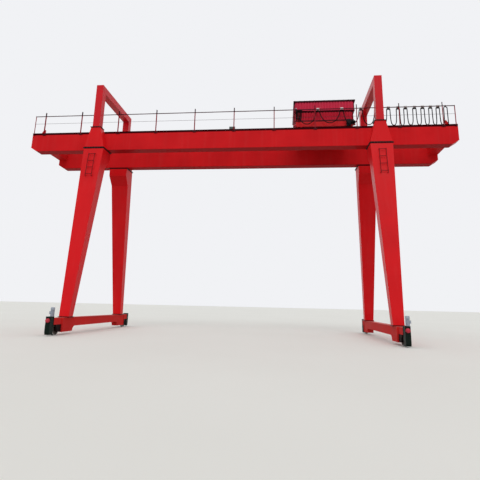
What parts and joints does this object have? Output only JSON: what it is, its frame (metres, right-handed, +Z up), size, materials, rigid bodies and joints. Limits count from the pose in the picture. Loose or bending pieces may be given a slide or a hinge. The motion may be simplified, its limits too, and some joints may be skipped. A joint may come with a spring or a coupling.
{
  "type": "rail-mounted gantry crane",
  "caption": "Rail-mounted gantry crane: box girders on tapered A-frame legs, overhanging ends, saddle portals, a housed trolley and a festoon cable.",
  "frame": {"origin": "on the ground under the middle of the crane", "axes": "+X along the girders, +Y along the ground rails towards the rear, +Z up"},
  "size_m": [27.36, 11.24, 15.92],
  "materials": {
    "red_paint": "gloss",
    "dark_red_paint": "gloss",
    "green_paint": "satin",
    "buffer_rubber": "matte",
    "grey_paint": "satin",
    "rail_steel": "worn",
    "zinc_steel": "satin",
    "white_plastic": "matte",
    "cable_rubber": "matte",
    "dark_grey_paint": "satin",
    "house_red_sheet": "gloss",
    "house_band_sheet": "gloss",
    "roof_sheet": "satin"
  },
  "bodies": {
    "crane": {"girder_front": "red_paint", "girder_rear": "red_paint", "end_ties": "red_paint", "trolley_rails": "rail_steel", "rail_stops": "red_paint", "leg_front_left": "red_paint", "leg_front_right": "red_paint", "leg_rear_left": "red_paint", "leg_rear_right": "red_paint", "leg_heads_left": "red_paint", "leg_heads_right": "red_paint", "saddle_left": "red_paint", "saddle_right": "red_paint", "sill_left": "red_paint", "sill_right": "red_paint", "bearing_boxes": "dark_red_paint", "guards_left": "green_paint", "guards_right": "green_paint", "guard_buffers": "buffer_rubber", "travel_gearboxes": "grey_paint", "travel_motors": "grey_paint", "railing_front": "dark_red_paint", "railing_rear": "dark_red_paint", "ladder_left": "dark_red_paint", "ladder_right": "dark_red_paint", "festoon_track": "zinc_steel", "festoon_carriers": "white_plastic", "festoon_cable": "cable_rubber", "junction_box": "dark_grey_paint"},
    "trolley": {"trolley_frame": "red_paint", "trolley_wheels": "rail_steel", "trolley_drives": "dark_grey_paint", "trolley_buffers": "dark_red_paint", "house_wall": "house_red_sheet", "house_band": "house_band_sheet", "house_roof": "roof_sheet", "tow_arm": "zinc_steel", "trolley_cable": "cable_rubber", "hoist_ropes": "zinc_steel", "hook_block": "rail_steel"},
    "wheel_front_left": {"wheel_front_left": "rail_steel"},
    "wheel_front_right": {"wheel_front_right": "rail_steel"},
    "wheel_rear_left": {"wheel_rear_left": "rail_steel"},
    "wheel_rear_right": {"wheel_rear_right": "rail_steel"}
  },
  "joints": [
    {"name": "trolley_travel", "type": "slide", "parent": "crane", "child": "trolley", "axis": [1, 0, 0], "range_m": [-16.775, 5.245]},
    {"name": "wheel_front_left_spin", "type": "hinge", "parent": "crane", "child": "wheel_front_left", "pos_m": [-9, -4.78, 0.325], "axis": [1, 0, 0], "continuous": true},
    {"name": "wheel_front_right_spin", "type": "hinge", "parent": "crane", "child": "wheel_front_right", "pos_m": [9, -4.78, 0.325], "axis": [1, 0, 0], "continuous": true},
    {"name": "wheel_rear_left_spin", "type": "hinge", "parent": "crane", "child": "wheel_rear_left", "pos_m": [-9, 4.78, 0.325], "axis": [1, 0, 0], "continuous": true},
    {"name": "wheel_rear_right_spin", "type": "hinge", "parent": "crane", "child": "wheel_rear_right", "pos_m": [9, 4.78, 0.325], "axis": [1, 0, 0], "continuous": true}
  ]
}
